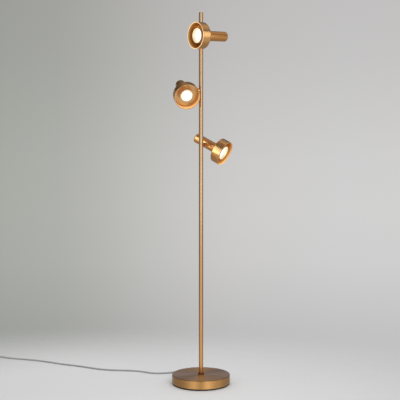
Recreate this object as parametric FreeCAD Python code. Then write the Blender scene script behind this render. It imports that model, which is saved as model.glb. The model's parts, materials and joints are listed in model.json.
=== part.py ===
import FreeCAD, Part
import math
import os

os.makedirs("parts", exist_ok=True)
V = FreeCAD.Vector

# ---------------------------------------------------------------- dimensions
# Tree floor lamp: weighted round base, one upright pole, three tilting spots.
# Origin: centre of the base on the floor. +Z up along the pole, -Y towards
# the viewer, +X to the viewer's right. All lengths in millimetres.
LAMP_HEIGHT = 1550.0

# base
BASE_R = 121.5            # outside of the spun cover
COVER_WALL = 1.5
COVER_Z0 = 6.3            # lower edge of the cover, top of the black band
COVER_Z1 = 40.5
COVER_EDGE_R = 1.6
PLATE_R = 120.6
PLATE_STEP_R = 119.9
PLATE_Z0 = 2.0
PLATE_Z1 = 8.3
PAD_R = 116.0
WEIGHT_R = 112.0
WEIGHT_Z1 = 23.3
SLOT_W = 26.0
STUD_R = 5.0
STUD_BORE_R = 3.0
NUT_AF = 17.0

# pole
POLE_R = 9.0
POLE_BORE_R = 7.8
FOOT_R = 12.6
FOOT_H = 6.0
SECTION_Z = (500.0, 950.0)     # joints between the three pole sections
CAP_T = 1.5

# spots, in their own frame: X along the arm, Y along the tube towards the light
HEAD_D = 75.0             # pole axis to tube axis
TUBE_R = 20.0
TUBE_BORE_R = 18.2
TUBE_REAR = -67.9
TUBE_FRONT = 46.4
NECK_R = 19.2
NECK_END = 52.4
SHADE_R = 53.0
SHADE_WALL = 2.0
SHADE_BACK_T = 1.5
SHADE_RIM = 85.2
RING_R = 30.0
RING_WALL = 1.4
RING_FRONT = 78.4
CONE_R = 22.6             # small end of the ring's sloping face, round the lens
CONE_Y = 70.6
ARM_R = 7.5
SPIGOT_R = 5.0
SPIGOT_CLEAR = 0.05
ARM_END = 51.5
BULB_R = 25.0
LENS_R = 22.0
LENS_Y = 67.5
PIN_GAP = 10.0            # between the two pins of the lamp's base
# name, height, arm direction in degrees from +X, side the light points to, tilt above level
HEADS = (
    ("top", 1444.4, -52.8, 1.0, -2.9),
    ("middle", 1230.2, 193.6, -1.0, -24.4),
    ("lower", 1005.7, 63.3, 1.0, -26.9),
)

# mains lead
CORD_D = 6.5
EXIT_AZ = 118.0           # where the lead leaves the base, behind and to the left
EXIT_Z = 14.9
GLAND_OUT = 28.0          # strain relief outside the cover
FLOOR_Z = CORD_D / 2.0 + 0.1

# foot switch and plug on the lead
SWITCH_L, SWITCH_W = 78.0, 38.0
SWITCH_SPLIT, SWITCH_TOP = 9.0, 19.0
SWITCH_DIR = 158.0
SWITCH_POS = (-1030.0, 505.0)
BUTTON_R = 11.0
BUTTON_TRAVEL = 2.2
COIL_R = 36.0             # middle of the coil's turns
COIL_HALF = 10.0
COIL_H = 13.3
COIL_OUT = 42.6           # middle of its outermost turn
COIL_TOP = FLOOR_Z + CORD_D   # middle of the turns that lie on the others


# ---------------------------------------------------------------- helpers
def unit2(ax, ay):
    n = math.hypot(ax, ay)
    return ax / n, ay / n


def loop2d(pts):
    """Closed list of edges in the XZ plane from (r, z[, corner radius])."""
    n = len(pts)
    cut = []
    for i in range(n):
        p = pts[i]
        r = p[2] if len(p) > 2 else 0.0
        a, b = pts[i - 1], pts[(i + 1) % n]
        if r <= 0:
            cut.append(((p[0], p[1]), (p[0], p[1]), None))
            continue
        u = unit2(a[0] - p[0], a[1] - p[1])
        w = unit2(b[0] - p[0], b[1] - p[1])
        ang = math.acos(max(-1.0, min(1.0, u[0] * w[0] + u[1] * w[1])))
        t = r / math.tan(ang / 2.0)
        s = (p[0] + u[0] * t, p[1] + u[1] * t)
        e = (p[0] + w[0] * t, p[1] + w[1] * t)
        bis = unit2(u[0] + w[0], u[1] + w[1])
        c = (p[0] + bis[0] * r / math.sin(ang / 2.0), p[1] + bis[1] * r / math.sin(ang / 2.0))
        m = (c[0] - bis[0] * r, c[1] - bis[1] * r)
        cut.append((s, e, m))
    edges = []
    for i in range(n):
        s, e, m = cut[i]
        if m is not None:
            edges.append(Part.Arc(V(s[0], 0, s[1]), V(m[0], 0, m[1]), V(e[0], 0, e[1])).toShape())
        nxt = cut[(i + 1) % n][0]
        if math.hypot(nxt[0] - e[0], nxt[1] - e[1]) > 1e-6:
            edges.append(Part.LineSegment(V(e[0], 0, e[1]), V(nxt[0], 0, nxt[1])).toShape())
    return edges


def rev(pts):
    """Solid turned about Z from a closed profile of (r, z[, corner radius])."""
    face = Part.Face(Part.Wire(Part.__sortEdges__(loop2d(pts))))
    return face.revolve(V(0, 0, 0), V(0, 0, 1), 360)


def ring(r0, r1, z0, z1):
    s = Part.makeCylinder(r1, z1 - z0, V(0, 0, z0))
    if r0 > 0:
        s = s.cut(Part.makeCylinder(r0, z1 - z0 + 2, V(0, 0, z0 - 1)))
    return s


def cyl(p, d, r, length):
    return Part.makeCylinder(r, length, p, d)


def to_y(s):
    """Turned solid about Z becomes one about Y, set at the tube's place."""
    q = s.copy()
    q.rotate(V(0, 0, 0), V(1, 0, 0), -90)
    q.translate(V(HEAD_D, 0, 0))
    return q


def polar(r, az, z):
    a = math.radians(az)
    return V(r * math.cos(a), r * math.sin(a), z)


def prism(n, af, z0, z1):
    r = af / 2.0 / math.cos(math.pi / n)
    w = Part.makePolygon([V(r * math.cos(2 * math.pi * k / n), r * math.sin(2 * math.pi * k / n), z0) for k in range(n)]
                         + [V(r, 0, z0)])
    return Part.Face(w).extrude(V(0, 0, z1 - z0))


def save(name, shape):
    solids = shape.Solids
    if len(solids) == 1:
        shape = solids[0]
    if not shape.isValid():
        print("INVALID", name)
    shape.exportStep("parts/%s.step" % name)
    print("%-28s solids %d  volume %.1f mm3" % (name, len(solids), shape.Volume))


def tube(points, d, label):
    """Round tube along straight runs joined by tangent arcs."""
    pts = [V(*p) for p in points]
    edges = []
    last = pts[0]
    radii = []
    length = 0.0
    for i in range(1, len(pts) - 1):
        a, p, b = pts[i - 1], pts[i], pts[i + 1]
        u = (a - p)
        w = (b - p)
        la, lb = u.Length, w.Length
        u = u / la
        w = w / lb
        turn = math.pi - math.acos(max(-1.0, min(1.0, u.dot(w))))
        t = 0.45 * min(la, lb)
        r = t / math.tan(turn / 2.0)
        radii.append(round(r, 1))
        s = p + u * t
        e = p + w * t
        bis = (u + w)
        bis = bis / bis.Length
        c = p + bis * (r / math.cos(turn / 2.0))
        m = c - bis * r
        edges.append(Part.LineSegment(last, s).toShape())
        edges.append(Part.Arc(s, m, e).toShape())
        length += (s - last).Length + r * turn
        last = e
    edges.append(Part.LineSegment(last, pts[-1]).toShape())
    length += (pts[-1] - last).Length
    wire = Part.Wire(edges)
    d0 = pts[1] - pts[0]
    circ = Part.Wire(Part.Circle(pts[0], d0, d / 2.0).toShape())
    s = wire.makePipeShell([circ], True, False)
    want = math.pi * d * d / 4.0 * length
    print("%s: length %.1f mm, radii %s, volume %.1f of %.1f" % (label, length, radii, s.Volume, want))
    return s, length


# ---------------------------------------------------------------- base
ea = math.radians(EXIT_AZ)
EXIT_DIR = V(math.cos(ea), math.sin(ea), 0)

cover = rev([
    (STUD_R + 0.3, COVER_Z1 - COVER_WALL), (BASE_R - COVER_WALL, COVER_Z1 - COVER_WALL, 1.0),
    (BASE_R - COVER_WALL, COVER_Z0), (BASE_R, COVER_Z0, 0.4),
    (BASE_R, COVER_Z1, COVER_EDGE_R), (STUD_R + 0.3, COVER_Z1)])
cover = cover.cut(cyl(EXIT_DIR * (BASE_R - 6) + V(0, 0, EXIT_Z), EXIT_DIR, 5.0, 12))
save("base_cover", cover)

weight = ring(STUD_R + 0.2, WEIGHT_R, PLATE_Z1, WEIGHT_Z1)
weight = weight.cut(ring(0, 13.0, PLATE_Z1 - 1, 14.8))
slot = Part.makeBox(70, SLOT_W, 40, V(55, -SLOT_W / 2, 0))
slot.rotate(V(0, 0, 0), V(0, 0, 1), EXIT_AZ)
weight = weight.cut(slot)
SCREW_AZ = (EXIT_AZ - 60, EXIT_AZ + 60, EXIT_AZ + 180)
for az in SCREW_AZ:
    weight = weight.cut(cyl(polar(85, az, PLATE_Z1 - 1), V(0, 0, 1), 2.5, 9.7))
save("base_weight", weight)

plate = rev([(0, PLATE_Z0), (PLATE_R, PLATE_Z0, 0.5), (PLATE_R, COVER_Z0), (PLATE_STEP_R, COVER_Z0),
             (PLATE_STEP_R, PLATE_Z1), (0, PLATE_Z1)])
screws = []
for az in SCREW_AZ:
    p = polar(85, az, 0)
    sc = rev([(0, PLATE_Z0), (4.8, PLATE_Z0), (2.5, PLATE_Z0 + 2.6), (2.5, 16.0), (0, 16.0)])
    sc = sc.cut(prism(6, 3.0, PLATE_Z0 - 1, PLATE_Z0 + 1.8))
    sc.translate(p)
    hole = rev([(0, PLATE_Z0 - 1), (4.8, PLATE_Z0 - 1), (4.8, PLATE_Z0), (2.5, PLATE_Z0 + 2.6), (2.5, PLATE_Z1 + 1), (0, PLATE_Z1 + 1)])
    hole.translate(p)
    plate = plate.cut(hole)
    screws.append(sc)
save("base_plate", plate)
save("base_screws", Part.makeCompound(screws))
save("floor_pad", rev([(0, 0), (PAD_R, 0, 0.4), (PAD_R, PLATE_Z0), (0, PLATE_Z0)]))

spacer = ring(STUD_R + 0.2, 11.0, WEIGHT_Z1, COVER_Z1 - COVER_WALL)
spacer = spacer.cut(cyl(V(0, 0, 31), EXIT_DIR, 3.0, 20))
save("base_spacer", spacer)

stud = ring(STUD_BORE_R, STUD_R, PLATE_Z1 + 0.4, 80.0)
stud = stud.cut(cyl(V(0, 0, 31), EXIT_DIR, 2.6, 10))
save("pole_stud", stud)
save("base_washer", ring(STUD_R, 12.0, 13.4, 14.8))
save("base_nut", prism(6, NUT_AF, PLATE_Z1 + 0.4, 13.4).cut(ring(0, STUD_R, 0, 20)))

# ---------------------------------------------------------------- pole
POLE_Z0 = COVER_Z1 + FOOT_H
foot = rev([(STUD_R, COVER_Z1), (FOOT_R, COVER_Z1), (FOOT_R, POLE_Z0, 1.2), (POLE_BORE_R, POLE_Z0),
            (POLE_BORE_R, POLE_Z0 + 20, 0.5), (STUD_R, POLE_Z0 + 20)])
save("pole_foot", foot)

POLE_Z3 = LAMP_HEIGHT - CAP_T
save("pole_lower", ring(POLE_BORE_R, POLE_R, POLE_Z0, SECTION_Z[0]))
save("pole_middle", ring(POLE_BORE_R, POLE_R, SECTION_Z[0], SECTION_Z[1]))
upper = ring(POLE_BORE_R, POLE_R, SECTION_Z[1], POLE_Z3)
for name, h, psi, side, tilt in HEADS:
    upper = upper.cut(cyl(V(0, 0, h), polar(1, psi, 0), 4.0, 12))
save("pole_upper", upper)
save("pole_couplers", Part.makeCompound([ring(STUD_R, POLE_BORE_R, z - 22, z + 22) for z in SECTION_Z]))
save("pole_top_cap", rev([(0, POLE_Z3 - 10), (POLE_BORE_R, POLE_Z3 - 10, 0.6), (POLE_BORE_R, POLE_Z3),
                          (POLE_R, POLE_Z3), (POLE_R, LAMP_HEIGHT, 0.6), (0, LAMP_HEIGHT)]))


# ---------------------------------------------------------------- spots
def head_matrix(h, psi, side, tilt):
    """Own frame to the lamp's: X the arm, Y the tube, Z their cross product."""
    p = math.radians(psi)
    e = math.radians(tilt)
    n = V(math.cos(p), math.sin(p), 0)
    t = V(math.sin(p), -math.cos(p), 0) * side
    a = t * math.cos(e) + V(0, 0, 1) * math.sin(e)
    b = n.cross(a)
    return FreeCAD.Placement(FreeCAD.Matrix(
        n.x, a.x, b.x, 0, n.y, a.y, b.y, 0, n.z, a.z, b.z, h, 0, 0, 0, 1))


def placed(s, pl):
    q = s.copy()
    q.Placement = pl.multiply(q.Placement)
    return q


X = V(1, 0, 0)
# tube of the spot, closed and rounded at the rear, threaded neck at the front
housing = rev([(0, TUBE_REAR), (TUBE_R, TUBE_REAR, 4.0), (TUBE_R, TUBE_FRONT), (NECK_R, TUBE_FRONT), (NECK_R, NECK_END),
               (TUBE_BORE_R, NECK_END), (TUBE_BORE_R, TUBE_REAR + 1.8, 2.2), (0, TUBE_REAR + 1.8)])
housing = to_y(housing)
swivel_bore = cyl(V(40, 0, 0), X, SPIGOT_R + SPIGOT_CLEAR, 26)
housing = housing.cut(swivel_bore)

shade = to_y(rev([
    (NECK_R, TUBE_FRONT), (SHADE_R, TUBE_FRONT, 3.2), (SHADE_R, SHADE_RIM, 0.5),
    (SHADE_R - SHADE_WALL, SHADE_RIM, 0.5), (SHADE_R - SHADE_WALL, TUBE_FRONT + SHADE_BACK_T, 2.0),
    (NECK_R, TUBE_FRONT + SHADE_BACK_T)]))

ry = TUBE_FRONT + SHADE_BACK_T
# cup round the lamp: straight outside, its front closed by a sloping ring down to the lens
glare = to_y(rev([
    (NECK_R, ry), (RING_R, ry), (RING_R, RING_FRONT, 0.4), (RING_R - 0.9, RING_FRONT), (CONE_R, CONE_Y),
    (CONE_R + 0.7, CONE_Y - 0.6), (RING_R - RING_WALL, RING_FRONT - 2.1),
    (RING_R - RING_WALL, ry + 3.6, 1.0), (NECK_R, ry + 3.6)]))

# saddle rings that make the tube's round wall flat for the swivel, outside and inside
tube_outside = to_y(Part.makeCylinder(TUBE_R, 120, V(0, 0, -60)))
tube_inside = to_y(Part.makeCylinder(TUBE_BORE_R, 120, V(0, 0, -60)))
saddle = cyl(V(52.3, 0, 0), X, 8.5, 8).cut(tube_outside).cut(swivel_bore)
saddle = sorted(saddle.Solids, key=lambda s: s.CenterOfMass.x)[0]
saddle_in = cyl(V(54, 0, 0), X, 7.4, 4.9).common(tube_inside).cut(swivel_bore)

bracket = to_y(rev([(5.0, 8.4), (TUBE_BORE_R, 8.4), (TUBE_BORE_R, 15.0), (TUBE_BORE_R - 1.2, 15.0),
                    (TUBE_BORE_R - 1.2, 9.6, 0.8), (5.0, 9.6)]))
holder = rev([(1.8, 9.6), (14.0, 9.6), (14.0, 22.0, 0.8), (1.8, 22.0)])
for s in (-1, 1):
    holder = holder.cut(cyl(V(0, s * PIN_GAP / 2, 15.0), V(0, 0, 1), 2.6, 8))
holder = to_y(holder)
bulb = rev([
    (0, 22.0), (13.0, 22.0, 0.8), (15.2, 25.0), (15.2, 38.0), (16.4, 50.0), (17.6, 52.8),
    (24.4, 63.0, 4.0), (BULB_R, 66.0), (BULB_R, 69.0, 0.5), (LENS_R, 69.0), (LENS_R, LENS_Y), (0, LENS_Y)])
for s in (-1, 1):
    bulb = bulb.fuse(cyl(V(0, s * PIN_GAP / 2, 16.0), V(0, 0, 1), 2.35, 6.5))
bulb = to_y(bulb.removeSplitter())
lens = to_y(rev([(0, LENS_Y), (LENS_R, LENS_Y), (LENS_R, 68.9), (LENS_R - 1.0, 69.6), (0, 69.6)]))

# arm fixed to the pole: outer sleeve, swivel spigot, bore for the wires
pole_solid = Part.makeCylinder(POLE_R, 60, V(0, 0, -30))
arm = cyl(V(2, 0, 0), X, ARM_R, ARM_END - 2).cut(pole_solid)
arm = sorted(arm.Solids, key=lambda s: -s.CenterOfMass.x)[0]
arm = arm.fuse(cyl(V(5.5, 0, 0), X, 4.0, 10)).fuse(cyl(V(40, 0, 0), X, SPIGOT_R, 25.5))
arm = arm.cut(cyl(V(0, 0, 0), X, 2.6, 80)).removeSplitter()
washer_f = cyl(V(ARM_END, 0, 0), X, 8.0, 0.75).cut(cyl(V(40, 0, 0), X, SPIGOT_R, 30))
washer_s = cyl(V(58.95, 0, 0), X, 7.2, 0.8).cut(cyl(V(40, 0, 0), X, SPIGOT_R, 30))
nut = prism(6, 13.0, 0, 4.5).cut(ring(0, SPIGOT_R, -1, 6))
nut.rotate(V(0, 0, 0), V(0, 1, 0), 90)
nut.translate(V(59.75, 0, 0))

washers_f, washers_s, nuts, branches = [], [], [], []
for name, h, psi, side, tilt in HEADS:
    tilted = head_matrix(h, psi, side, tilt)
    level = head_matrix(h, psi, side, 0.0)
    save("housing_" + name, placed(housing, tilted))
    save("shade_" + name, placed(shade, tilted))
    save("glare_ring_" + name, placed(glare, tilted))
    save("swivel_saddle_" + name, placed(saddle, tilted))
    save("inner_saddle_" + name, placed(saddle_in, tilted))
    save("holder_bracket_" + name, placed(bracket, tilted))
    save("lampholder_" + name, placed(holder, tilted))
    save("bulb_body_" + name, placed(bulb, tilted))
    save("bulb_lens_" + name, placed(lens, tilted))
    save("arm_" + name, placed(arm, level))
    washers_f.append(placed(washer_f, level))
    washers_s.append(placed(washer_s, level))
    nuts.append(placed(nut, level))
    branches.append(placed(cyl(V(0, 0, 0), X, 1.8, 64.0), level))
    print(name, "axis", [round(c, 5) for c in level.Rotation.multVec(V(1, 0, 0))],
          "light direction", [round(c, 5) for c in tilted.Rotation.multVec(V(0, 1, 0))])
save("swivel_friction_washers", Part.makeCompound(washers_f))
save("swivel_spring_washers", Part.makeCompound(washers_s))
save("swivel_lock_nuts", Part.makeCompound(nuts))

# ---------------------------------------------------------------- wiring in the base and pole
gland = rev([(CORD_D / 2, 110), (6.5, 110), (6.5, BASE_R - COVER_WALL - 0.25), (5.0, BASE_R - COVER_WALL - 0.25), (5.0, BASE_R + 0.2),
             (6.6, BASE_R + 0.2), (6.6, BASE_R + 3.0, 0.8), (5.4, BASE_R + 4.0), (4.3, BASE_R + GLAND_OUT, 0.5), (CORD_D / 2, BASE_R + GLAND_OUT)])
gland.rotate(V(0, 0, 0), V(0, 1, 0), 90)
gland.rotate(V(0, 0, 0), V(0, 0, 1), EXIT_AZ)
gland.translate(V(0, 0, EXIT_Z))
save("cord_gland", gland)

block = Part.makeBox(24, 20, 12, V(62, -10, PLATE_Z1))
for s in (-5, 5):
    block = block.cut(cyl(V(67, s, PLATE_Z1 + 4), V(0, 0, 1), 2.0, 10))
    block = block.cut(cyl(V(81, s, PLATE_Z1 + 4), V(0, 0, 1), 2.0, 10))
block.rotate(V(0, 0, 0), V(0, 0, 1), EXIT_AZ)
save("terminal_block", block)

TB = PLATE_Z1 + 12
wire_base, _ = tube([(74, 0, TB), (74, 0, 31), (2.4, 0, 31)], 4.4, "base wire")
wire_base.rotate(V(0, 0, 0), V(0, 0, 1), EXIT_AZ)
lead_in = cyl(V(86, 0, EXIT_Z), X, CORD_D / 2, BASE_R + GLAND_OUT - 86)
lead_in.rotate(V(0, 0, 0), V(0, 0, 1), EXIT_AZ)
riser = Part.makeCylinder(2.3, HEADS[0][1] - 29 + 2, V(0, 0, 29))
for b in branches:
    riser = riser.fuse(b)
riser = riser.fuse(wire_base)
save("internal_wiring", Part.makeCompound([riser.Solids[0] if len(riser.Solids) == 1 else riser, lead_in]))

# ---------------------------------------------------------------- mains lead on the floor
sd = math.radians(SWITCH_DIR)
SU = V(math.cos(sd), math.sin(sd), 0)
SC = V(SWITCH_POS[0], SWITCH_POS[1], 0)
RELIEF = 11.0
sw_in = SC - SU * (SWITCH_L / 2 + RELIEF)
sw_out = SC + SU * (SWITCH_L / 2 + RELIEF)
SW_Z = 6.0
g_end = EXIT_DIR * (BASE_R + GLAND_OUT)
ROUTE = [
    (g_end.x, g_end.y, EXIT_Z),
    (g_end.x + EXIT_DIR.x * 26, g_end.y + EXIT_DIR.y * 26, EXIT_Z),
    (-105.5, 167.5, 8.4),
    (-141.0, 168.0, 3.9),
    (-184.0, 158.5, FLOOR_Z),
    (-221.0, 165.0, FLOOR_Z),
    (-254.0, 188.0, FLOOR_Z),
    (-296.0, 208.0, FLOOR_Z),
    (-348.0, 213.0, FLOOR_Z),
    (-405.0, 219.0, FLOOR_Z),
    (-460.0, 237.0, FLOOR_Z),
    (-520.0, 274.0, FLOOR_Z),
    (-582.0, 307.0, FLOOR_Z),
    (-644.0, 334.0, FLOOR_Z),
    (-702.0, 371.0, FLOOR_Z),
    (-768.0, 405.0, FLOOR_Z),
    (-838.0, 430.0, FLOOR_Z),
    (-895.0, 446.0, FLOOR_Z + 0.1),
    (sw_in.x - SU.x * 28, sw_in.y - SU.y * 28, SW_Z - 0.8),
    (sw_in.x, sw_in.y, SW_Z),
]
cord1, len1 = tube(ROUTE, CORD_D, "cord")

# coil: the lead reaches the outermost turn on the floor, winds in anticlockwise, and back out on top
td = math.radians(SWITCH_DIR + 14)
coil_c = sw_out + SU * 40 + V(math.cos(td), math.sin(td), 0) * 30
TV = V(math.cos(td), math.sin(td), 0)
NV = V(-TV.y, TV.x, 0)                    # to the left of the lead's direction
CC = coil_c + NV * COIL_OUT
print("coil centre", CC)
ROUTE2 = [
    (sw_out.x, sw_out.y, SW_Z),
    (sw_out.x + SU.x * 20, sw_out.y + SU.y * 20, SW_Z - 0.4),
    (sw_out.x + SU.x * 42, sw_out.y + SU.y * 42, FLOOR_Z + 0.2),
    (coil_c.x, coil_c.y, FLOOR_Z),
]
cord2, len2 = tube(ROUTE2, CORD_D, "cord to coil")
coil = rev([(COIL_R - COIL_HALF, 0, 2.5), (COIL_R + COIL_HALF, 0, 2.5), (COIL_R + COIL_HALF, COIL_H, 3.0),
            (COIL_R - COIL_HALF, COIL_H, 3.0)])
coil.translate(V(CC.x, CC.y, 0))
save("cord_coil", coil)

# tail: leaves the coil on its far side and ends in the plug lying beside it
fd = math.radians(SWITCH_DIR + 100)
FV = V(math.cos(fd), math.sin(fd), 0)
FN = V(FV.y, -FV.x, 0)                    # from the centre to where the tail leaves
tail0 = CC + FN * COIL_OUT
tail1 = tail0 + FV * 24
fd2 = fd + math.radians(16)
tail2 = tail1 + V(math.cos(fd2), math.sin(fd2), 0) * 28
fd3 = fd2 + math.radians(14)
PV = V(math.cos(fd3), math.sin(fd3), 0)
tail3 = tail2 + PV * 24
PLUG_Z = 7.0
ROUTE3 = [(tail0.x, tail0.y, COIL_TOP), (tail1.x, tail1.y, COIL_TOP - 1.65), (tail2.x, tail2.y, PLUG_Z - 0.8), (tail3.x, tail3.y, PLUG_Z)]
cord3, len3 = tube(ROUTE3, CORD_D, "cord tail")
save("cord", Part.makeCompound([cord1, cord2, cord3]))
print("free lengths", len1, len2, len3)
for r in (ROUTE, ROUTE2, ROUTE3):
    print("route", [tuple(round(c, 2) for c in p) for p in r])

# ---------------------------------------------------------------- foot switch
def stadium(length, width, z0, z1):
    r = width / 2.0
    h = length / 2.0 - r
    s = Part.makeBox(2 * h, width, z1 - z0, V(-h, -r, z0))
    for x in (-h, h):
        s = s.fuse(Part.makeCylinder(r, z1 - z0, V(x, 0, z0)))
    return s.removeSplitter()


def at_switch(s):
    q = s.copy()
    q.rotate(V(0, 0, 0), V(0, 0, 1), SWITCH_DIR)
    q.translate(SC)
    return q


def relief(z):
    r = rev([(CORD_D / 2, SWITCH_L / 2 - 4), (4.6, SWITCH_L / 2 - 4), (4.6, SWITCH_L / 2 + 2), (3.9, SWITCH_L / 2 + RELIEF, 0.3),
             (CORD_D / 2, SWITCH_L / 2 + RELIEF)])
    r.rotate(V(0, 0, 0), V(0, 1, 0), 90)
    r.translate(V(0, 0, z))
    return r


outer = stadium(SWITCH_L, SWITCH_W, 0, SWITCH_TOP)
base = stadium(SWITCH_L, SWITCH_W, 0, SWITCH_SPLIT).cut(stadium(SWITCH_L - 4, SWITCH_W - 4, 2, 20))
bores = cyl(V(-60, 0, SW_Z), X, 4.6, 120)
base = base.cut(bores)
r1 = relief(SW_Z)
r2 = r1.copy()
r2.rotate(V(0, 0, 0), V(0, 0, 1), 180)
cover_s = stadium(SWITCH_L, SWITCH_W, SWITCH_SPLIT, SWITCH_TOP)
top_edges = [e for e in cover_s.Edges if abs(e.BoundBox.ZMin - SWITCH_TOP) < 1e-6 and abs(e.BoundBox.ZMax - SWITCH_TOP) < 1e-6]
cover_s = cover_s.makeFillet(3.0, top_edges)
cover_s = cover_s.cut(stadium(SWITCH_L - 4, SWITCH_W - 4, SWITCH_SPLIT - 1, SWITCH_TOP - 2))
cover_s = cover_s.cut(Part.makeCylinder(BUTTON_R + 0.3, 10, V(0, 0, SWITCH_TOP - 5))).cut(bores)
# each bore through the wall is round: the split line runs above its top
save("switch_base", at_switch(base))
save("switch_cover", at_switch(cover_s))
save("switch_reliefs", Part.makeCompound([at_switch(r1), at_switch(r2)]))
button = rev([(0, SWITCH_TOP - 5.6), (BUTTON_R + 1.4, SWITCH_TOP - 5.6), (BUTTON_R + 1.4, SWITCH_TOP - 2.3), (BUTTON_R, SWITCH_TOP - 2.3),
              (BUTTON_R, SWITCH_TOP + 3.2, 1.2), (0, SWITCH_TOP + 3.2)])
save("switch_button", at_switch(button))
mech = Part.makeBox(16, 16, SWITCH_TOP - 5.6 - BUTTON_TRAVEL - 0.4 - 2.0, V(-8, -8, 2.0))
save("switch_mechanism", at_switch(mech))

# ---------------------------------------------------------------- plug
PLUG_L = 38.0
w0 = Part.makePolygon([V(0, -5, 2), V(0, 5, 2), V(0, 5, 12), V(0, -5, 12), V(0, -5, 2)])
w1 = Part.makePolygon([V(14, -12.5, 0), V(14, 12.5, 0), V(14, 12.5, 14), V(14, -12.5, 14), V(14, -12.5, 0)])
w2 = Part.makePolygon([V(PLUG_L, -17.5, 0), V(PLUG_L, 17.5, 0), V(PLUG_L, 17.5, 14), V(PLUG_L, -17.5, 14), V(PLUG_L, -17.5, 0)])
plug = Part.makeLoft([w0, w1, w2], True, True)
long_edges = [e for e in plug.Edges if e.BoundBox.XLength > 5 and e.Length > 8]
try:
    plug = plug.makeFillet(2.4, long_edges)
except Exception as err:
    print("plug edges stay sharp:", err)
neck = rev([(CORD_D / 2, -16), (4.0, -16, 0.3), (4.9, 1.5), (CORD_D / 2, 1.5)])
neck.rotate(V(0, 0, 0), V(0, 1, 0), 90)
neck.translate(V(0, 0, PLUG_Z))
plug = plug.fuse(neck)
pins = []
for s in (-1, 1):
    plug = plug.cut(cyl(V(PLUG_L - 6, s * 9.3, PLUG_Z), X, 2.0, 12))
    pins.append(cyl(V(PLUG_L - 6, s * 9.3, PLUG_Z), X, 2.0, 24))
plug_at = tail3 + PV * 16


def at_plug(s):
    q = s.copy()
    q.rotate(V(0, 0, 0), V(0, 0, 1), math.degrees(fd3))
    q.translate(V(plug_at.x, plug_at.y, 0))
    return q


save("plug_body", at_plug(plug))
save("plug_pins", Part.makeCompound([at_plug(p) for p in pins]))
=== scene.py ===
import bpy
import bmesh
import json
import math
from mathutils import Matrix, Vector

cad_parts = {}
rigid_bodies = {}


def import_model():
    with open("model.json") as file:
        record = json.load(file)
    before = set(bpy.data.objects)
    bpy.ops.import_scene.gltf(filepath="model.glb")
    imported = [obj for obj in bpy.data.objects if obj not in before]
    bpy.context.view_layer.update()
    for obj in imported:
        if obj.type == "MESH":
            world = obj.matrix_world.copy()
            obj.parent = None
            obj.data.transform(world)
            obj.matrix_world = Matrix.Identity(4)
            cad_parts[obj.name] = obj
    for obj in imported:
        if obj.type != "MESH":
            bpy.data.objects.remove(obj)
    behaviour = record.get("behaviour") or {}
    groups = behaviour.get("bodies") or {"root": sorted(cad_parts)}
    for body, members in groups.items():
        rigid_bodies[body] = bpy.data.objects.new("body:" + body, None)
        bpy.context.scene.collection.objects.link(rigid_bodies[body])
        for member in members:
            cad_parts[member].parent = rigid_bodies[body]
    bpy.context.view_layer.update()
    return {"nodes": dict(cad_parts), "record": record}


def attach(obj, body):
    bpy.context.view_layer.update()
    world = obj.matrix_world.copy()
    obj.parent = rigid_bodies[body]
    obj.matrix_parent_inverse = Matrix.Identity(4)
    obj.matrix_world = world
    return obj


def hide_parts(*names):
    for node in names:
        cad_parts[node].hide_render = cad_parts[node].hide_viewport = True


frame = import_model()
NODES = frame["nodes"]
sc = bpy.context.scene
MM = 0.001

# ------------------------------------------------------------------ the lamp's own sizes, mm
HEADS = (
    ("top", 1444.4, -52.8, 1.0, -2.9),
    ("middle", 1230.2, 193.6, -1.0, -24.4),
    ("lower", 1005.7, 63.3, 1.0, -26.9),
)
HEAD_D = 75.0
CORD_D = 6.5
POLE_R = 9.0
TUBE_R = 20.0

# ------------------------------------------------------------------ camera
# 863.4 px focal length on a 400 px frame, 3.6 m from the pole, 0.943 m up, 2.7 degrees down
cam_data = bpy.data.cameras.new("camera")
cam_data.sensor_width = 36.0
cam_data.lens = 863.4 / 400.0 * 36.0
cam_data.clip_start, cam_data.clip_end = 0.05, 60.0
cam = bpy.data.objects.new("camera", cam_data)
sc.collection.objects.link(cam)
cam.location = (-0.0042, -3.6, 0.9428)
cam.rotation_euler = (math.radians(90 - 2.68), 0, 0)
sc.camera = cam

# ------------------------------------------------------------------ mains lead: its route, mm
LEAD = [
    (-68.3, 128.5, 14.9), (-82.39, 154.96, 14.9), (-105.5, 167.5, 8.4), (-141.0, 168.0, 3.9),
    (-184.0, 158.5, 3.35), (-221.0, 165.0, 3.35), (-254.0, 188.0, 3.35), (-296.0, 208.0, 3.35),
    (-348.0, 213.0, 3.35), (-405.0, 219.0, 3.35), (-460.0, 237.0, 3.35), (-520.0, 274.0, 3.35),
    (-582.0, 307.0, 3.35), (-644.0, 334.0, 3.35), (-702.0, 371.0, 3.35), (-768.0, 405.0, 3.35),
    (-838.0, 430.0, 3.35), (-895.0, 446.0, 3.45), (-957.68, 475.78, 5.2), (-983.64, 486.27, 6.0),
    (-1030.0, 505.0, 6.0),
    (-1076.36, 523.73, 6.0), (-1094.9, 531.22, 5.6), (-1115.3, 539.46, 3.55),
]
COIL_C = (-1149.08, 500.70)
COIL_OUT, COIL_STEP = 42.6, 6.6
FLOOR_Z = 3.35
STEP_A = 22.5
K = 1.0 / math.cos(math.radians(STEP_A / 2))
A_IN, A_OUT = 82.0, 168.0


def smooth(t):
    t = max(0.0, min(1.0, t))
    return t * t * (3 - 2 * t)


def coil_point(turned):
    """Place on the put-away coil after so many degrees: two turns in on the floor, then out on top of them."""
    if turned < 720:
        r, z = COIL_OUT - COIL_STEP * turned / 360.0, FLOOR_Z
    else:
        up = turned - 720
        r = COIL_OUT - 2 * COIL_STEP + 2 * COIL_STEP * smooth((up - 60) / 386.0)
        z = FLOOR_Z + CORD_D * smooth(up / 75.0)
    a = math.radians(A_IN + turned)
    return (COIL_C[0] + r * K * math.cos(a), COIL_C[1] + r * K * math.sin(a), z)


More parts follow.
